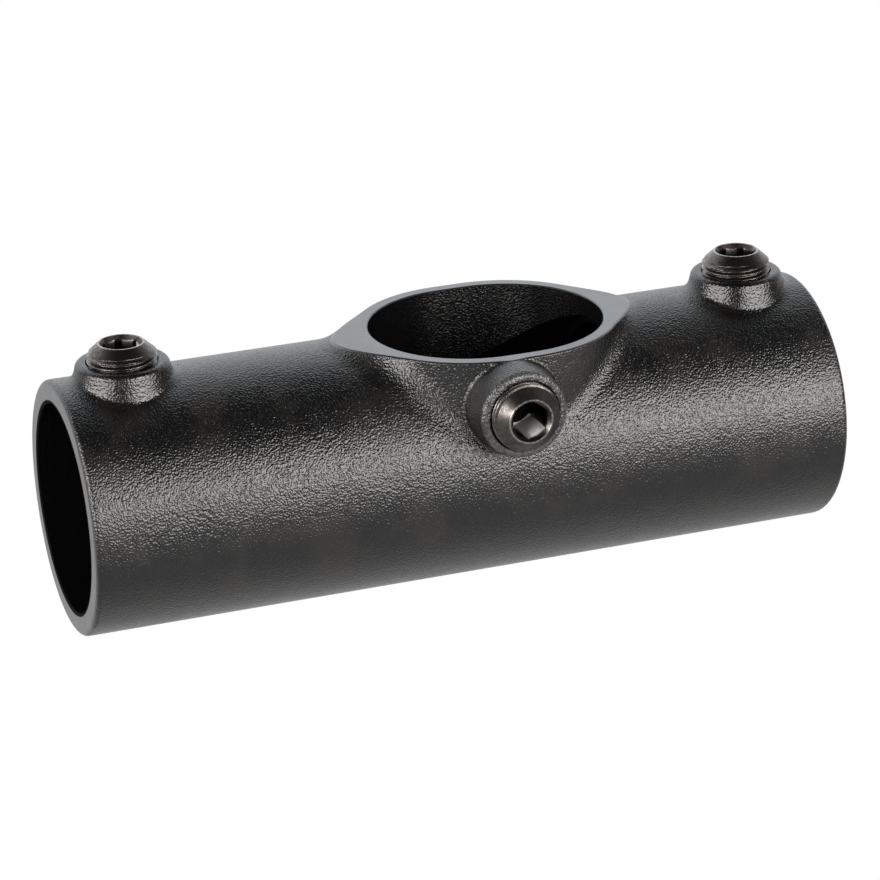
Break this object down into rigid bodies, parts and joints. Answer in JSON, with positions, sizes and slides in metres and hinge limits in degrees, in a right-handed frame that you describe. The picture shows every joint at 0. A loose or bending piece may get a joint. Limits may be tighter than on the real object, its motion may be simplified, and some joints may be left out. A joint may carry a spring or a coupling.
{
  "type": "tube clamp tee fitting",
  "caption": "Cast tube clamp tee: a through sleeve for two handrail tubes, an oblong collar for an upright that may lean on a slope, and socket set screws that hold the tubes.",
  "frame": {"origin": "on the sleeve's axis, half way along its length", "axes": "+X along the sleeve towards the end that the collar is nearer to, +Z out of the collar's mouth along the upright, -Y out of the front set screw"},
  "size_m": [0.189, 0.0706, 0.0705],
  "materials": {
    "black_coating": "satin black coating over a grained sand-cast surface, smoother on the faced ends and collar",
    "screw_steel": "dark browned steel, bright where the rim and threads are worn"
  },
  "bodies": {
    "fitting": {"casting": "black_coating"},
    "left_screw": {"left_set_screw": "screw_steel"},
    "right_screw": {"right_set_screw": "screw_steel"},
    "front_screw": {"front_set_screw": "screw_steel"}
  },
  "joints": [
    {"name": "left_screw_travel", "type": "slide", "parent": "fitting", "child": "left_screw", "axis": [0, 0, 1], "range_m": [-0.002, 0.0043]},
    {"name": "right_screw_travel", "type": "slide", "parent": "fitting", "child": "right_screw", "axis": [0, 0, 1], "range_m": [-0.0026, 0.0037]},
    {"name": "front_screw_travel", "type": "slide", "parent": "fitting", "child": "front_screw", "axis": [0, -1, 0], "range_m": [-0.0027, 0.0048]}
  ]
}
